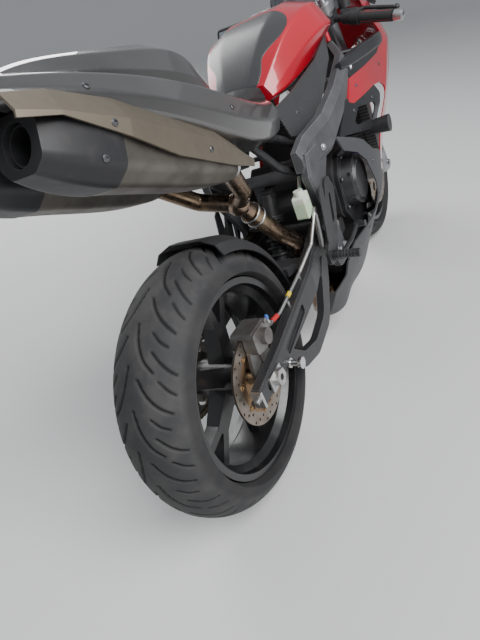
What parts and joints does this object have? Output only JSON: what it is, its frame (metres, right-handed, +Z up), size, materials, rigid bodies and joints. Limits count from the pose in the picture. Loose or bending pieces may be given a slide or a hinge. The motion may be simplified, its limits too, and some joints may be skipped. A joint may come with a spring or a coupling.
{
  "type": "sport motorcycle",
  "caption": "Sport motorcycle with full fairing, twin underseat silencers, chain drive, fuel tank, hump-backed tail, clip-on bars and a side stand.",
  "frame": {"origin": "middle of the bounding box's footprint, on the floor under both tyres and the side stand's foot", "axes": "+X forward, +Y to the rider's left, +Z up; the bike leans 12 degrees to the left on its stand"},
  "size_m": [2.077, 0.7996, 1.0805],
  "materials": {
    "bright_steel": "plated",
    "grey_plastic": "dark grey gloss",
    "chain_steel": "greased steel",
    "engine_black": "semi-gloss black",
    "black_plastic": "satin black",
    "satin_black_metal": "satin black",
    "purple_anodised": "anodised",
    "fork_steel": "black and bright steel",
    "frame_grey": "dark grey textured, worn at edges",
    "caliper_cast": "cast grey",
    "disc_steel": "ground steel, faintly browned",
    "red_paint": "gloss crimson",
    "wheel_black": "satin black paint",
    "tyre": "worn matt rubber",
    "grip_rubber": "black, red stitching",
    "exhaust_steel": "heat-tinted bronze",
    "clear_lens": "clear",
    "titanium_pale": "satin champagne",
    "radiator_alloy": "black core",
    "sprocket_steel": "oiled steel",
    "bottle_plastic": "translucent, greenish white",
    "seat_cover": "grained black",
    "gunmetal_paint": "gloss metallic gunmetal",
    "shock_steel": "satin",
    "carbon_black": "dark weave look",
    "black_metal": "matt black",
    "titanium_dark": "satin titanium",
    "chrome": "polished",
    "red_lens": "clear red lens",
    "clamp_alloy": "black anodised",
    "screen": "smoked clear"
  },
  "bodies": {
    "chassis": {"axle_and_pivot": "bright_steel", "belly_fairings": "grey_plastic", "brake_hose": "bright_steel", "chain": "chain_steel", "clutch_cover": "engine_black", "dash": "black_plastic", "engine": "engine_black", "fairing_stays": "satin_black_metal", "filler_cap": "purple_anodised", "footrests": "satin_black_metal", "frame": "frame_grey", "frame_sliders": "black_plastic", "fuel_tank": "red_paint", "generator_cover": "engine_black", "headers": "exhaust_steel", "headlights": "clear_lens", "heat_shields": "titanium_pale", "hugger": "black_plastic", "inner_panels": "black_plastic", "link_pipes": "exhaust_steel", "mirrors": "black_plastic", "nose_fairing": "red_paint", "plate_bracket": "black_plastic", "radiator": "radiator_alloy", "rear_caliper": "caliper_cast", "reservoir": "bottle_plastic", "rider_seat": "seat_cover", "seat_cowl": "gunmetal_paint", "shock": "shock_steel", "side_covers": "carbon_black", "side_fairings": "red_paint", "silencer_caps": "black_metal", "silencers": "titanium_dark", "sprocket_guard": "black_plastic", "stand_bracket": "satin_black_metal", "stand_spools": "chrome", "subframe": "satin_black_metal", "swingarm": "satin_black_metal", "tail_cowl": "gunmetal_paint", "tail_light": "red_lens", "undertray": "black_plastic", "windscreen": "screen"},
    "rear_wheel": {"rear_disc": "disc_steel", "rear_rim": "wheel_black", "rear_sprocket": "sprocket_steel", "rear_tyre": "tyre"},
    "steering": {"fork": "fork_steel", "front_calipers": "caliper_cast", "front_fender": "red_paint", "grips": "grip_rubber", "handlebars": "satin_black_metal", "triple_clamps": "clamp_alloy"},
    "front_wheel": {"front_discs": "disc_steel", "front_rim": "wheel_black", "front_tyre": "tyre"},
    "stand": {"side_stand": "satin_black_metal"}
  },
  "joints": [
    {"name": "rear_wheel_spin", "type": "hinge", "parent": "chassis", "child": "rear_wheel", "pos_m": [-0.6565, -0.13688, 0.31019], "axis": [0, 0.9781, -0.2079], "continuous": true},
    {"name": "steering_turn", "type": "hinge", "parent": "chassis", "child": "steering", "pos_m": [0.51682, -0.05355, 0.70221], "axis": [-0.4067, 0.1899, 0.8936], "range_deg": [-24, 24]},
    {"name": "front_wheel_spin", "type": "hinge", "parent": "steering", "child": "front_wheel", "pos_m": [0.7385, -0.13999, 0.29552], "axis": [0, 0.9781, -0.2079], "continuous": true},
    {"name": "side_stand_fold", "type": "hinge", "parent": "chassis", "child": "stand", "pos_m": [-0.1365, -0.00462, 0.20132], "axis": [-0.2404, 0.9645, 0.1088], "range_deg": [0, 96]}
  ]
}
